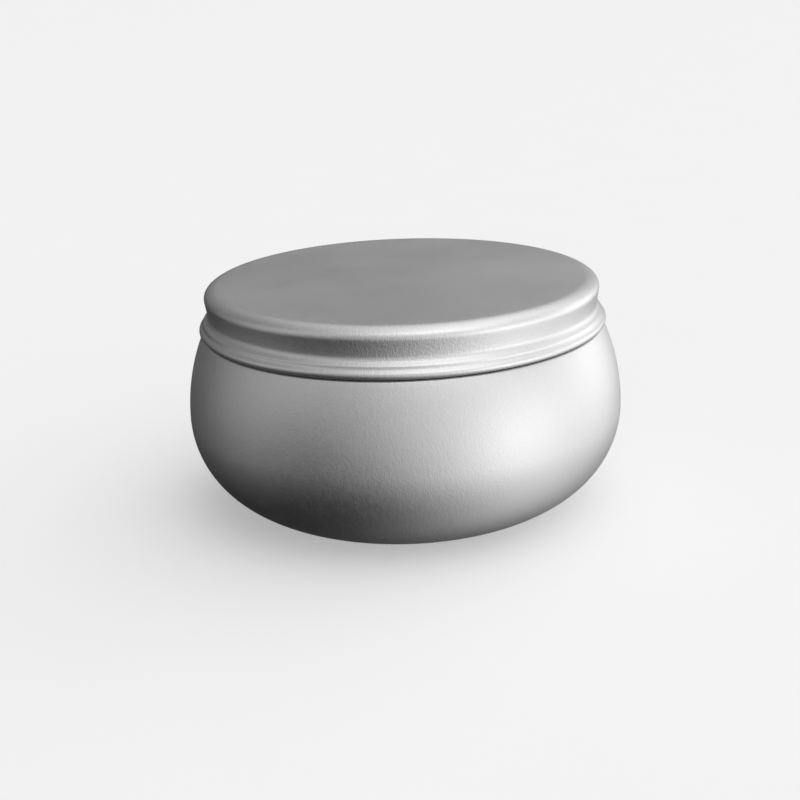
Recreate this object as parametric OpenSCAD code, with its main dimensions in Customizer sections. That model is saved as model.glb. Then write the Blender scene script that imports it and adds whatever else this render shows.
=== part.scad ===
// A pot-bellied aluminium candle tin with a lift-off slip lid.
// Both pieces are drawn from one disc of sheet each, so each is written as the run of its sheet:
// bends that meet in line, with straight runs between some of them, turned about the upright axis.
// Millimetres. The origin is the centre of the base on the surface the tin stands on, +Z is up.

/* [Body] */
// Widest diameter, at the belly
belly_d = 90; // [88:0.5:92]
// Height of the widest point above the table
belly_z = 20.5; // [20:0.1:21.5]
// Thickness of the body's sheet
body_sheet = 0.4; // [0.3:0.05:0.5]
// Radius of the bend just under the belly
lower_bend_r = 20; // [19:0.1:20.5]
// Turn of that bend, before the wider bend that runs in to the base
lower_bend_turn = 52; // [50:1:54]
// Radius of the long bend from the belly up to the shoulder
upper_bend_r = 40.3; // [39:0.1:42]
// Depth of the recess pressed up into the base
base_recess = 0.8; // [0.6:0.1:1.2]

/* [Neck] */
// Height of the ledge that the lid's hem lands on
ledge_z = 37.75; // [37.5:0.05:38]
// Height of the rolled rim
rim_z = 46.1; // [45.6:0.1:46.2]
// Radius of the roll on the rim
rim_roll_r = 0.9; // [0.8:0.05:0.95]
// Gap all round between the neck and the narrowest part of the lid's cove
slip_gap = 0.1; // [0.05:0.01:0.2]

/* [Lid] */
// Diameter of the lid at its hem
lid_d = 83.5; // [83.3:0.1:83.7]
// Diameter of the lid's top, above the cove
lid_top_d = 80.7; // [80.5:0.1:80.9]
// Height of the closed tin
tin_h = 47.2; // [47.1:0.05:47.5]
// Thickness of the lid's sheet
lid_sheet = 0.35; // [0.3:0.05:0.4]
// Radius of the roll on the lid's hem
hem_roll_r = 0.85; // [0.8:0.01:0.88]
// Diameter over the small bead above the hem
bead_d = 81.9; // [81.8:0.05:82]

/* [Lift] */
// How far the lid is drawn above its closed place
lid_lift = 0; // [0:1:60]

/* [Hidden] */
$fn = 180;
// How far a straight facet of an outline may lie inside its true arc
chord_gap = 0.005;

// Base: the standing ring, and the S-shaped step up to the recessed panel
ring_w = 1.6;
step_turn = 50;

// Shoulder, the fillet from the ledge up to the neck, and the roll on the rim
shoulder_r = 0.8;
fillet_r = 0.4;
rim_roll_turn = 290;
// Lid: a wide crown bend, then a tighter edge bend that turns a little in below its widest
crown_r = 3.6;
crown_to = 50;
edge_r = 1.65;
edge_to = -11;
// the wall of the cove, which straightens as it goes down, and the sweep from its foot out to the bead
wall_to = -5.5;
wall_h = 2.8;
foot_r = 1.45;
foot_to = 51;
bead_r = 0.5;
// the groove between the bead and the hem, and the roll of the hem
groove_r = 1.1;
hem_gap = 0.1;
hem_roll_turn = 230;

// A unit step in the direction of an angle
function toward(a) = [cos(a), sin(a)];

// Centres of the lid's bends down to the foot of the cove, whose narrowest inner face sets the neck
edge_c = [lid_top_d / 2 - edge_r, tin_h - crown_r + (crown_r - edge_r) * sin(crown_to)];
crown_c = edge_c - (crown_r - edge_r) * toward(crown_to);
wall_r = wall_h / (sin(wall_to) - sin(edge_to));
wall_c = edge_c + (edge_r + wall_r) * toward(edge_to);
foot_c = wall_c - (wall_r - foot_r) * toward(wall_to);
neck_r = foot_c[0] - foot_r - lid_sheet - slip_gap;

// A place along the sheet is a pair: a point on the outer face and the point on the inner face behind it.
// A bend is a row of places. Angles are the tilt of the sheet's outer face: 0 faces out, 90 faces up.
// An outward bend turns about a centre behind its face, and an inward bend about a centre in front of it.
function bend_steps(r, a_from, a_to) = max(3, ceil(abs(a_to - a_from) / (2 * acos(1 - chord_gap / r))));
function bend_angles(r, a_from, a_to) =
    let (n = bend_steps(r, a_from, a_to))
    [for (i = [0:n]) a_from + (a_to - a_from) * i / n];
function outward(centre, r, t, a_from, a_to) =
    [for (a = bend_angles(r, a_from, a_to)) [centre + r * toward(a), centre + (r - t) * toward(a)]];
function inward(centre, r, t, a_from, a_to) =
    [for (a = bend_angles(r + t, a_from, a_to)) [centre - r * toward(a), centre - (r + t) * toward(a)]];

// The centre that is r_a from a and r_b from b, on the left of the way from a to b
function between(a, r_a, b, r_b) =
    let (
        gap = norm(b - a),
        way = (b - a) / gap,
        along = (r_a * r_a - r_b * r_b + gap * gap) / (2 * gap)
    )
    a + along * way + sqrt(r_a * r_a - along * along) * [-way[1], way[0]];

function tilt_to(from, to) = atan2(to[1] - from[1], to[0] - from[0]);

// The sheet's section: out along the outer face and back along the inner one
module sheet_section(places) {
    last = len(places) - 1;
    polygon(concat([for (p = places) p[0]], [for (i = [last:-1:0]) places[i][1]]));
}

// The body's sheet, from the middle of the base to the end of the rolled rim
function body_places(t) =
    let (
        lower_z = belly_z - lower_bend_r * sin(lower_bend_turn),
        base_bend_r = lower_z / (1 - sin(lower_bend_turn)),
        side_c = [belly_d / 2 - lower_bend_r, belly_z],
        base_c = side_c - (base_bend_r - lower_bend_r) * toward(-lower_bend_turn),
        step_r = base_recess / (2 * (1 - cos(step_turn))) - t / 2,
        step_w = base_recess * sin(step_turn) / (1 - cos(step_turn)),
        ring_in = base_c[0] - ring_w,
        panel_r = ring_in - step_w,
        upper_c = [belly_d / 2 - upper_bend_r, belly_z],
        shoulder_at = asin((ledge_z - shoulder_r - belly_z) / (upper_bend_r - shoulder_r)),
        shoulder_c = upper_c + (upper_bend_r - shoulder_r) * toward(shoulder_at),
        fillet_c = [neck_r + fillet_r, ledge_z + fillet_r],
        rim_c = [neck_r - rim_roll_r, rim_z - rim_roll_r]
    )
    concat(
        [[[0, base_recess], [0, base_recess + t]]],
        inward([panel_r, base_recess - step_r], step_r, t, -90, -90 - step_turn),
        outward([ring_in, step_r + t], step_r + t, t, -90 - step_turn, -90),
        outward(base_c, base_bend_r, t, -90, -lower_bend_turn),
        outward(side_c, lower_bend_r, t, -lower_bend_turn, 0),
        outward(upper_c, upper_bend_r, t, 0, shoulder_at),
        outward(shoulder_c, shoulder_r, t, shoulder_at, 90),
        inward(fillet_c, fillet_r, t, 90, 0),
        outward(rim_c, rim_roll_r, t, 0, 90),
        outward(rim_c, rim_roll_r, t, 90, rim_roll_turn)
    );

// The lid's sheet, from the middle of its top to the end of the rolled hem
function lid_places(t) =
    let (
        foot_end = foot_c - foot_r * toward(foot_to),
        bead_start_r = bead_d / 2 - bead_r + bead_r * cos(foot_to),
        bead_start_z = foot_end[1] - (bead_start_r - foot_end[0]) / tan(foot_to),
        bead_c = [bead_d / 2 - bead_r, bead_start_z - bead_r * sin(foot_to)],
        hem_c = [lid_d / 2 - hem_roll_r, ledge_z + hem_gap + hem_roll_r],
        groove_c = between(bead_c, bead_r + groove_r, hem_c, hem_roll_r + groove_r),
        groove_from = tilt_to(bead_c, groove_c),
        groove_to = tilt_to(hem_c, groove_c)
    )
    concat(
        [[[0, tin_h], [0, tin_h - t]]],
        outward(crown_c, crown_r, t, 90, crown_to),
        outward(edge_c, edge_r, t, crown_to, edge_to),
        inward(wall_c, wall_r, t, edge_to, wall_to),
        inward(foot_c, foot_r, t, wall_to, foot_to),
        outward(bead_c, bead_r, t, foot_to, groove_from),
        inward(groove_c, groove_r, t, groove_from, groove_to),
        outward(hem_c, hem_roll_r, t, groove_to, 0),
        outward(hem_c, hem_roll_r, t, 0, -hem_roll_turn)
    );

module tin_body() {
    color([0.78, 0.78, 0.79]) rotate_extrude() sheet_section(body_places(body_sheet));
}

module lid() {
    color([0.72, 0.72, 0.73]) translate([0, 0, lid_lift])
        rotate_extrude() sheet_section(lid_places(lid_sheet));
}

tin_body();
lid();
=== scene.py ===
import math

import bpy
from mathutils import Matrix, Vector


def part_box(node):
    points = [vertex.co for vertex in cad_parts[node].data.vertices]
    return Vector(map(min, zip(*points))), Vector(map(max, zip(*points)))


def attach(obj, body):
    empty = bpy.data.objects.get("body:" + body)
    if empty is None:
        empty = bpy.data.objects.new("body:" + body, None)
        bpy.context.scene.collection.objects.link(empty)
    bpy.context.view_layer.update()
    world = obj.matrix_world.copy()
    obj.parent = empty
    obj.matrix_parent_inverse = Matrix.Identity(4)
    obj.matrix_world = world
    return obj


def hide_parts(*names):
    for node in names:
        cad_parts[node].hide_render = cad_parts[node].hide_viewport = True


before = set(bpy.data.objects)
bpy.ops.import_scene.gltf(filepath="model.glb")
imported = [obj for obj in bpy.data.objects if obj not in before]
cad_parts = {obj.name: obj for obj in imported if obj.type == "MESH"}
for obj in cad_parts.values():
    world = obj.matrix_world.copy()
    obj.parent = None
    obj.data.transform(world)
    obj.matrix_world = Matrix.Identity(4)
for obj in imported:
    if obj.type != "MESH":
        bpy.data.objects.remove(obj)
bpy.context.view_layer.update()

# A pot-bellied round tin with a slip lid. Both pieces are turned from the section of the
# aluminium sheet that they are drawn from, and have a satin finish with fine grain.

# ---------------------------------------------------------------------------
# Sizes, in metres and radians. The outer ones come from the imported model. The
# bends repeat those of the CAD.
# ---------------------------------------------------------------------------
MM = 0.001
QUARTER = math.pi / 2
_, body_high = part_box("tin_body")
lid_low, lid_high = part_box("lid")

BELLY_R = body_high[0]
BELLY_Z = 20.5 * MM
RIM_Z = body_high[2]
BODY_SHEET = 0.4 * MM
LOWER_BEND_R = 20 * MM
LOWER_BEND_TURN = math.radians(52)
UPPER_BEND_R = 40.3 * MM
BASE_RECESS = 0.8 * MM
RING_W = 1.6 * MM
STEP_TURN = math.radians(50)
LEDGE_Z = 37.75 * MM
SHOULDER_R = 0.8 * MM
FILLET_R = 0.4 * MM
RIM_ROLL_R = 0.9 * MM
RIM_ROLL_TO = math.radians(290)
SLIP_GAP = 0.1 * MM

SKIRT_R = lid_high[0]
HEM_Z = lid_low[2]
TIN_H = lid_high[2]
LID_SHEET = 0.35 * MM
LID_TOP_R = 40.35 * MM
CROWN_R = 3.6 * MM
CROWN_TO = math.radians(50)
EDGE_R = 1.65 * MM
EDGE_TO = math.radians(-11)
WALL_TO = math.radians(-5.5)
WALL_H = 2.8 * MM
FOOT_R = 1.45 * MM
FOOT_TO = math.radians(51)
BEAD_CREST_R = 40.95 * MM
BEAD_R = 0.5 * MM
GROOVE_R = 1.1 * MM
HEM_ROLL_R = 0.85 * MM
HEM_ROLL_TURN = math.radians(230)

# Painted shade in the seam between lid and body starts at this tilt on the shoulder, and this far
# round the hem's roll
SEAM_SHADE_FROM = math.radians(62)
SEAM_SHADE_TURN = math.radians(22)

# Facets round the axis, and how far a facet along the sheet may cut inside its arc
ROUND_STEPS = 288
CHORD_GAP = 0.003 * MM
BASE_RINGS = 12
LID_RINGS = 16
SAME_PLACE = 1e-7
ON_AXIS = 1e-6

# How much less the inner face is rubbed, and darkened by painted seam shade, than the outer face in
# front of it
INNER_WEAR_AND_SHADE = 0.4


# ---------------------------------------------------------------------------
# The sheet's sections. A place is (outer point, inner point, wear and seam shade), where the
# points are (radius, height). The last value is above 0 where the sheet is rubbed by handling,
# and below 0 in the seam between lid and body, which is darkened there with painted shade.
# Where two bends meet, merged() keeps the first one's place.
# ---------------------------------------------------------------------------
def at(centre, r, angle):
    return (centre[0] + r * math.cos(angle), centre[1] + r * math.sin(angle))


def bend(centre, r, sheet, a_from, a_to, wear=0.0):
    """Places round one centre, at the tilt of the outer face: 0 faces out and a quarter turn
    faces up. r is negative where the sheet bends round a centre in front of its outer face."""
    widest = max(abs(r), abs(r - sheet))
    facet_turn = 2 * math.acos(1 - CHORD_GAP / widest)
    steps = max(4, math.ceil(abs(a_to - a_from) / facet_turn))
    angles = [a_from + (a_to - a_from) * i / steps for i in range(steps + 1)]
    return [(at(centre, r, a), at(centre, r - sheet, a), wear) for a in angles]


def panel(radius, outer_z, inner_z, rings):
    """Places across a flat round panel, from its middle to just inside its edge."""
    radii = [radius * i / rings for i in range(rings)]
    return [((r, outer_z), (r, inner_z), 0.0) for r in radii]


# Centres of the lid's bends down to the foot of its cove, whose narrowest inner face sets the neck
EDGE_C = (LID_TOP_R - EDGE_R, TIN_H - CROWN_R + (CROWN_R - EDGE_R) * math.sin(CROWN_TO))
CROWN_C = at(EDGE_C, EDGE_R - CROWN_R, CROWN_TO)
WALL_R = WALL_H / (math.sin(WALL_TO) - math.sin(EDGE_TO))
WALL_C = at(EDGE_C, EDGE_R + WALL_R, EDGE_TO)
FOOT_C = at(WALL_C, FOOT_R - WALL_R, WALL_TO)
NECK_R = FOOT_C[0] - FOOT_R - LID_SHEET - SLIP_GAP


def body_places():
    """The body's sheet from the middle of the base, out and up to the end of the rim's roll."""
    t = BODY_SHEET
    lower_c = (BELLY_R - LOWER_BEND_R, BELLY_Z)
    lower_z = BELLY_Z - LOWER_BEND_R * math.sin(LOWER_BEND_TURN)
    base_bend_r = lower_z / (1 - math.sin(LOWER_BEND_TURN))
    base_r = (BELLY_R - LOWER_BEND_R * (1 - math.cos(LOWER_BEND_TURN))
              - base_bend_r * math.cos(LOWER_BEND_TURN))
    step_r = BASE_RECESS / (2 * (1 - math.cos(STEP_TURN))) - t / 2
    step_w = BASE_RECESS * math.sin(STEP_TURN) / (1 - math.cos(STEP_TURN))
    ring_in = base_r - RING_W
    panel_r = ring_in - step_w
    upper_c = (BELLY_R - UPPER_BEND_R, BELLY_Z)
    shoulder_z = LEDGE_Z - SHOULDER_R
    shoulder_at = math.asin((shoulder_z - BELLY_Z) / (UPPER_BEND_R - SHOULDER_R))
    shoulder_c = (upper_c[0] + (UPPER_BEND_R - SHOULDER_R) * math.cos(shoulder_at), shoulder_z)
    fillet_c = (NECK_R + FILLET_R, LEDGE_Z + FILLET_R)
    rim_c = (NECK_R - RIM_ROLL_R, RIM_Z - RIM_ROLL_R)
    up, down = QUARTER, -QUARTER
    return (
        panel(panel_r, BASE_RECESS, BASE_RECESS + t, BASE_RINGS)
        + bend((panel_r, BASE_RECESS - step_r), -step_r, t, down, down - STEP_TURN)
        + bend((ring_in, step_r + t), step_r + t, t, down - STEP_TURN, down, wear=0.8)
        + [((base_r, 0.0), (base_r, t), 0.25)]
        + bend((base_r, base_bend_r), base_bend_r, t, down, -LOWER_BEND_TURN)
        + bend(lower_c, LOWER_BEND_R, t, -LOWER_BEND_TURN, 0)
        + bend(upper_c, UPPER_BEND_R, t, 0, shoulder_at)
        + bend(shoulder_c, SHOULDER_R, t, shoulder_at, SEAM_SHADE_FROM, wear=0.3)
        # Painted shade: from this tilt the top of the shoulder and the neck fillet, in the seam
        # under the lid's hem, are darkened in colour
        + bend(shoulder_c, SHOULDER_R, t, SEAM_SHADE_FROM, up, wear=-0.8)
        + bend(fillet_c, -FILLET_R, t, up, 0, wear=-1.0)
        + bend(rim_c, RIM_ROLL_R, t, 0, up, wear=1.0)
        + bend(rim_c, RIM_ROLL_R, t, up, RIM_ROLL_TO, wear=1.0)
    )


def between(a, r_a, b, r_b):
    """The centre r_a from a and r_b from b, on the outer side of the way down from a to b."""
    gap = math.dist(a, b)
    way = ((b[0] - a[0]) / gap, (b[1] - a[1]) / gap)
    along = (r_a * r_a - r_b * r_b + gap * gap) / (2 * gap)
    out = math.sqrt(r_a * r_a - along * along)
    return (a[0] + along * way[0] - out * way[1], a[1] + along * way[1] + out * way[0])


def tilt_to(start, end):
    return math.atan2(end[1] - start[1], end[0] - start[0])


def lid_places():
    """The lid's sheet from the middle of the top, out and down to the end of the hem's roll."""
    t = LID_SHEET
    foot_end = at(FOOT_C, -FOOT_R, FOOT_TO)
    bead_c_r = BEAD_CREST_R - BEAD_R
    bead_start_r = bead_c_r + BEAD_R * math.cos(FOOT_TO)
    sweep_drop = (bead_start_r - foot_end[0]) / math.tan(FOOT_TO)
    bead_c = (bead_c_r, foot_end[1] - sweep_drop - BEAD_R * math.sin(FOOT_TO))
    hem_c = (SKIRT_R - HEM_ROLL_R, HEM_Z + HEM_ROLL_R)
    groove_c = between(bead_c, BEAD_R + GROOVE_R, hem_c, HEM_ROLL_R + GROOVE_R)
    groove_from, groove_to = tilt_to(bead_c, groove_c), tilt_to(hem_c, groove_c)
    return (
        panel(CROWN_C[0], TIN_H, TIN_H - t, LID_RINGS)
        + bend(CROWN_C, CROWN_R, t, QUARTER, CROWN_TO, wear=0.15)
        + bend(EDGE_C, EDGE_R, t, CROWN_TO, EDGE_TO, wear=0.5)
        + bend(WALL_C, -WALL_R, t, EDGE_TO, WALL_TO)
        + bend(FOOT_C, -FOOT_R, t, WALL_TO, FOOT_TO)
        + bend(bead_c, BEAD_R, t, FOOT_TO, groove_from, wear=0.8)
        + bend(groove_c, -GROOVE_R, t, groove_from, groove_to)
        + bend(hem_c, HEM_ROLL_R, t, groove_to, 0, wear=0.6)
        + bend(hem_c, HEM_ROLL_R, t, 0, -SEAM_SHADE_TURN, wear=0.2)
        # Painted shade: the underside and inside of the hem's roll, in the seam over the body's
        # shoulder, are darkened in colour
        + bend(hem_c, HEM_ROLL_R, t, -SEAM_SHADE_TURN, -HEM_ROLL_TURN, wear=-1.0)
    )


# ---------------------------------------------------------------------------
# Turning a section into a closed shell of sheet
# ---------------------------------------------------------------------------
def merged(places):
    """The places without those that repeat the one before, where two bends meet."""
    kept = [places[0]]
    for place in places[1:]:
        if math.dist(place[0], kept[-1][0]) > SAME_PLACE:
            kept.append(place)
    return kept


def turned_shell(name, places):
    """A mesh of the sheet turned about the axis. Its attributes are the length along the sheet
    from the middle, and the wear with the painted seam shade."""
    places = merged(places)
    lengths = [0.0]
    for last, place in zip(places, places[1:]):
        lengths.append(lengths[-1] + math.dist(place[0], last[0]))
    path = [(outer, s, wear) for (outer, _, wear), s in zip(places, lengths)]
    path += [(inner, s, INNER_WEAR_AND_SHADE * wear)
             for (_, inner, wear), s in reversed(list(zip(places, lengths)))]

    points, along, wear_and_seam_shade_values, rings = [], [], [], []
    for (r, z), s, wear in path:
        first = len(points)
        steps = 1 if r < ON_AXIS else ROUND_STEPS
        for k in range(steps):
            a = 2 * math.pi * k / ROUND_STEPS
            points.append((r * math.cos(a), r * math.sin(a), z))
        along += [s] * steps
        wear_and_seam_shade_values += [wear] * steps
        rings.append([first] * ROUND_STEPS if steps == 1 else list(range(first, first + steps)))

    faces = []
    for low, high in zip(rings, rings[1:]):
        for k in range(ROUND_STEPS):
            n = (k + 1) % ROUND_STEPS
            corners = [low[k], high[k], high[n], low[n]]
            # On the axis two corners are one, which leaves a triangle
            faces.append(list(dict.fromkeys(corners)))

    mesh = bpy.data.meshes.new(name)
    mesh.from_pydata(points, [], faces)
    mesh.flip_normals()
    mesh.shade_smooth()
    mesh.attributes.new("along", "FLOAT", "POINT").data.foreach_set("value", along)
    mesh.attributes.new("wear", "FLOAT", "POINT").data.foreach_set("value", wear_and_seam_shade_values)
    # The sheet's cut edge, at the end of its roll, is the only sharp one
    cut_edge = set(rings[len(places) - 1]) | set(rings[len(places)])
    sharp = [e.vertices[0] in cut_edge and e.vertices[1] in cut_edge for e in mesh.edges]
    mesh.attributes.new("sharp_edge", "BOOLEAN", "EDGE").data.foreach_set("value", sharp)
    mesh.validate()
    piece = bpy.data.objects.new(name, mesh)
    bpy.context.scene.collection.objects.link(piece)
    return piece


# ---------------------------------------------------------------------------
# Satin aluminium
# ---------------------------------------------------------------------------
class Nodes:
    """Short names for making and joining the nodes of a material or a world."""

    def __init__(self, owner):
        owner.use_nodes = True
        self.tree = owner.node_tree
        self.tree.nodes.clear()

    def add(self, kind, **settings):
        node = self.tree.nodes.new(kind)
        for key, value in settings.items():
            setattr(node, key, value)
        return node

    def put(self, source, socket):
        """Links a node's output to a socket, or sets the socket to a plain value."""
        if isinstance(source, bpy.types.NodeSocket):
            self.tree.links.new(source, socket)
        else:
            socket.default_value = source

    def math(self, operation, a, b=0.0):
        node = self.add("ShaderNodeMath", operation=operation)
        self.put(a, node.inputs[0])
        self.put(b, node.inputs[1])
        return node.outputs[0]

    def total(self, first, *terms):
        """The sum of a value and of (value, weight) terms."""
        for value, weight in terms:
            first = self.math("ADD", first, self.math("MULTIPLY", value, weight))
        return first

    def vector(self, operation, a, b=(0.0, 0.0, 0.0), output="Vector"):
        node = self.add("ShaderNodeVectorMath", operation=operation)
        self.put(a, node.inputs[0])
        self.put(b, node.inputs[1])
        return node.outputs[output]

    def xyz(self, x=0.0, y=0.0, z=0.0):
        node = self.add("ShaderNodeCombineXYZ")
        for value, socket in zip((x, y, z), node.inputs):
            self.put(value, socket)
        return node.outputs[0]

    def grey(self, level):
        node = self.add("ShaderNodeCombineColor")
        for channel in node.inputs:
            self.put(level, channel)
        return node.outputs[0]

    def noise(self, vector, scale, detail=2.0, roughness=0.5):
        """Noise about 0.5."""
        node = self.add("ShaderNodeTexNoise")
        self.put(vector, node.inputs["Vector"])
        node.inputs["Scale"].default_value = scale
        node.inputs["Detail"].default_value = detail
        node.inputs["Roughness"].default_value = roughness
        return node.outputs["Fac"]

    def remap(self, value, low, high, to_low, to_high, smooth=False):
        kind = "SMOOTHSTEP" if smooth else "LINEAR"
        node = self.add("ShaderNodeMapRange", interpolation_type=kind)
        for source, socket in zip((value, low, high, to_low, to_high), node.inputs):
            self.put(source, socket)
        return node.outputs[0]

    def surface(self, shader):
        self.put(shader.outputs[0], self.add("ShaderNodeOutputMaterial").inputs["Surface"])


# Scales of the finish, in cycles per metre, or per unit of heading for the streaks
GRAIN_SCALE = 3600.0
GRAIN_RISE = 0.55
CLOUD_SCALE = 55.0
STREAK_SCALE = 60.0
STREAK_CLIMB = 9.0
# The streaks fade in between these radii, so the middles of the flat panels have none
STREAKS_FROM_R = 26 * MM
STREAKS_FULL_R = 39 * MM


def satin_aluminium(name, grey, roughness, grain_depth, streak_depth):
    material = bpy.data.materials.new(name)
    n = Nodes(material)
    place = n.add("ShaderNodeTexCoord").outputs["Object"]
    along = n.add("ShaderNodeAttribute", attribute_name="along").outputs["Fac"]
    wear = n.add("ShaderNodeAttribute", attribute_name="wear").outputs["Fac"]

    # Draw marks: fine streaks that run along the sheet, from its middle out
    parts = n.add("ShaderNodeSeparateXYZ")
    n.put(place, parts.inputs[0])
    flat = n.xyz(parts.outputs[0], parts.outputs[1])
    radius = n.vector("LENGTH", flat, output="Value")
    heading = n.vector("NORMALIZE", flat)
    streak_place = n.vector("ADD", heading, n.xyz(z=n.math("MULTIPLY", along, STREAK_CLIMB)))
    streaks = n.noise(streak_place, STREAK_SCALE, detail=3.0, roughness=0.65)
    streaks_here = n.remap(radius, STREAKS_FROM_R, STREAKS_FULL_R, 0.0, 1.0, smooth=True)
    streaks = n.math("MULTIPLY", n.math("SUBTRACT", streaks, 0.5), streaks_here)

    # Etched grain, drawn out a little up the sides, and broad clouding from handling
    drawn_out = n.vector("MULTIPLY", place, (1.0, 1.0, GRAIN_RISE))
    grain = n.math("SUBTRACT", n.noise(drawn_out, GRAIN_SCALE, detail=2.0, roughness=0.6), 0.5)
    clouds = n.math("SUBTRACT", n.noise(place, CLOUD_SCALE, detail=3.0, roughness=0.5), 0.5)

    # Rubbed edges, broken up by the clouding, and painted shade that darkens the seam between lid
    # and body
    broken = n.remap(clouds, -0.2, 0.2, 0.35, 1.0)
    rubbed = n.math("MULTIPLY", n.math("MAXIMUM", wear, 0.0), broken)
    painted_seam_shade = n.math("MINIMUM", wear, 0.0)

    level = n.total(grey, (streaks, 0.08), (grain, 0.06), (clouds, 0.05),
                    (rubbed, 0.04), (painted_seam_shade, 0.5))
    rough = n.total(roughness, (grain, 0.16), (streaks, 0.12), (clouds, 0.10), (rubbed, -0.07))

    bump = n.add("ShaderNodeBump")
    bump.inputs["Strength"].default_value = 1.0
    bump.inputs["Distance"].default_value = grain_depth
    n.put(n.total(grain, (streaks, streak_depth / grain_depth)), bump.inputs["Height"])

    shader = n.add("ShaderNodeBsdfPrincipled")
    shader.inputs["Metallic"].default_value = 1.0
    n.put(n.grey(level), shader.inputs["Base Color"])
    n.put(rough, shader.inputs["Roughness"])
    n.put(bump.outputs[0], shader.inputs["Normal"])
    n.surface(shader)
    return material


def make_piece(name, places, node, body, material):
    piece = turned_shell(name, places)
    piece.data.materials.append(material)
    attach(piece, body)
    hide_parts(node)


# ---------------------------------------------------------------------------
# Studio
# ---------------------------------------------------------------------------
FLOOR_HALF = 4.0
FLOOR_DROP = 0.05 * MM
FLOOR_GREY = (0.84, 0.86)
FLOOR_GLOW = 0.3


def pale_floor():
    """A pale matt floor just under the tin. It glows a little, and isn't seen in the metal,
    whose surroundings are the world's lights alone."""
    material = bpy.data.materials.new("pale_floor")
    n = Nodes(material)
    place = n.add("ShaderNodeTexCoord").outputs["Object"]
    shader = n.add("ShaderNodeBsdfPrincipled")
    shader.inputs["Roughness"].default_value = 0.9
    shader.inputs["Specular IOR Level"].default_value = 0.1
    n.put(n.grey(n.remap(n.noise(place, 30.0), 0.0, 1.0, *FLOOR_GREY)), shader.inputs["Base Color"])
    shader.inputs["Emission Color"].default_value = (1, 1, 1, 1)
    shader.inputs["Emission Strength"].default_value = FLOOR_GLOW
    n.surface(shader)

    h = FLOOR_HALF
    mesh = bpy.data.meshes.new("floor")
    mesh.from_pydata([(-h, -h, 0), (h, -h, 0), (h, h, 0), (-h, h, 0)], [], [(0, 1, 2, 3)])
    mesh.materials.append(material)
    floor = bpy.data.objects.new("floor", mesh)
    bpy.context.scene.collection.objects.link(floor)
    floor.location.z = -FLOOR_DROP
    floor.visible_glossy = False


def studio_light(lights, sharpness, backdrop):
    """Broad soft lights all round the tin, as one sky. Each is named, and is (azimuth,
    elevation, brightness), in degrees from +X towards +Y and up from level. It fades with
    the angle away from its middle."""
    world = bpy.data.worlds.new("studio")
    n = Nodes(world)
    look = n.add("ShaderNodeTexCoord").outputs["Generated"]
    glow = 0.0
    for azimuth, elevation, brightness in lights.values():
        a, e = math.radians(azimuth), math.radians(elevation)
        middle = (math.cos(a) * math.cos(e), math.sin(a) * math.cos(e), math.sin(e))
        facing = n.vector("DOT_PRODUCT", look, middle, output="Value")
        away = n.math("MULTIPLY", n.math("SUBTRACT", facing, 1.0), sharpness)
        glow = n.total(glow, (n.math("EXPONENT", away), brightness))

    # The camera sees an even pale backdrop where it looks past the floor
    lit = n.add("ShaderNodeBackground")
    n.put(glow, lit.inputs["Color"])
    plain = n.add("ShaderNodeBackground")
    plain.inputs["Color"].default_value = (backdrop, backdrop, backdrop, 1)
    choose = n.add("ShaderNodeMixShader")
    n.put(n.add("ShaderNodeLightPath").outputs["Is Camera Ray"], choose.inputs[0])
    n.put(lit.outputs[0], choose.inputs[1])
    n.put(plain.outputs[0], choose.inputs[2])
    n.put(choose.outputs[0], n.add("ShaderNodeOutputWorld").inputs[0])
    bpy.context.scene.world = world


# The camera's place, in belly radii, and how far it is turned off the point that it looks at
CAMERA_ELEVATION = math.radians(22.26)
CAMERA_DISTANCE = 6.5
CAMERA_AIM_Z = 0.55
CAMERA_TURN_SIDE = -0.0039
CAMERA_TURN_UP = -0.0145
CAMERA_ROLL = math.radians(-2.14)
CAMERA_LENS = 60.68
CAMERA_SENSOR = 36.0


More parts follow.
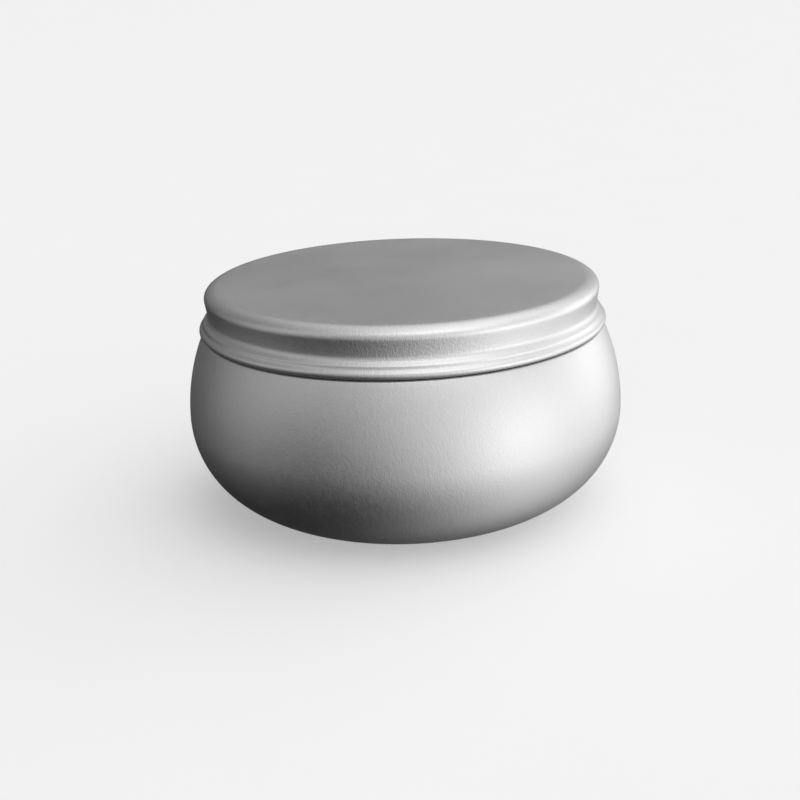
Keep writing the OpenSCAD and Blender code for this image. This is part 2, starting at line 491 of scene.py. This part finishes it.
def studio_camera():
    """A long lens a little above the tin, rolled so that the tin leans as it does when
    photographed by hand."""
    distance = CAMERA_DISTANCE * BELLY_R
    place = Vector((0, -distance * math.cos(CAMERA_ELEVATION),
                    distance * math.sin(CAMERA_ELEVATION)))
    straight = (Vector((0, 0, CAMERA_AIM_Z * BELLY_R)) - place).normalized()
    side = Vector((1, 0, 0))
    gaze = (straight + CAMERA_TURN_SIDE * side + CAMERA_TURN_UP * side.cross(straight)).normalized()
    side = gaze.cross(Vector((0, 0, 1))).normalized()
    up = side.cross(gaze)
    rolled_side = math.cos(CAMERA_ROLL) * side + math.sin(CAMERA_ROLL) * up
    rolled_up = math.cos(CAMERA_ROLL) * up - math.sin(CAMERA_ROLL) * side
    data = bpy.data.cameras.new("camera")
    data.sensor_width = CAMERA_SENSOR
    data.lens = CAMERA_LENS
    data.clip_start = 0.01
    camera = bpy.data.objects.new("camera", data)
    turn = Matrix((rolled_side, rolled_up, -gaze)).transposed()
    camera.matrix_world = Matrix.Translation(place) @ turn.to_4x4()
    bpy.context.scene.collection.objects.link(camera)
    bpy.context.scene.camera = camera


studio_camera()
pale_floor()
studio_light(
    {
        "large box, high on the right of the camera": (300, 60, 1.35),
        "strip, low on the right of the camera": (330, -3, 1.3),
        "glow of the table in front": (300, -20, 0.35),
        "box behind on the right": (30, 5, 1.4),
        "glow of the table below": (0, -50, 0.6),
        "ceiling behind": (60, 60, 0.9),
        "fill beside the camera": (270, 5, 0.4),
        "wall behind on the left": (120, 30, 0.15),
        "fill from the left": (180, 5, 0.25),
        "fill, higher on the left": (210, 30, 0.35),
    },
    sharpness=7.0,
    backdrop=0.88,
)
bpy.context.scene.view_settings.view_transform = "Standard"

satin_body = satin_aluminium("satin_body", grey=0.85, roughness=0.42,
                             grain_depth=0.035 * MM, streak_depth=0.02 * MM)
satin_lid = satin_aluminium("satin_lid", grey=0.86, roughness=0.38,
                            grain_depth=0.055 * MM, streak_depth=0.03 * MM)
make_piece("tin_body_shell", body_places(), "tin_body", "tin", satin_body)
make_piece("lid_shell", lid_places(), "lid", "lid", satin_lid)
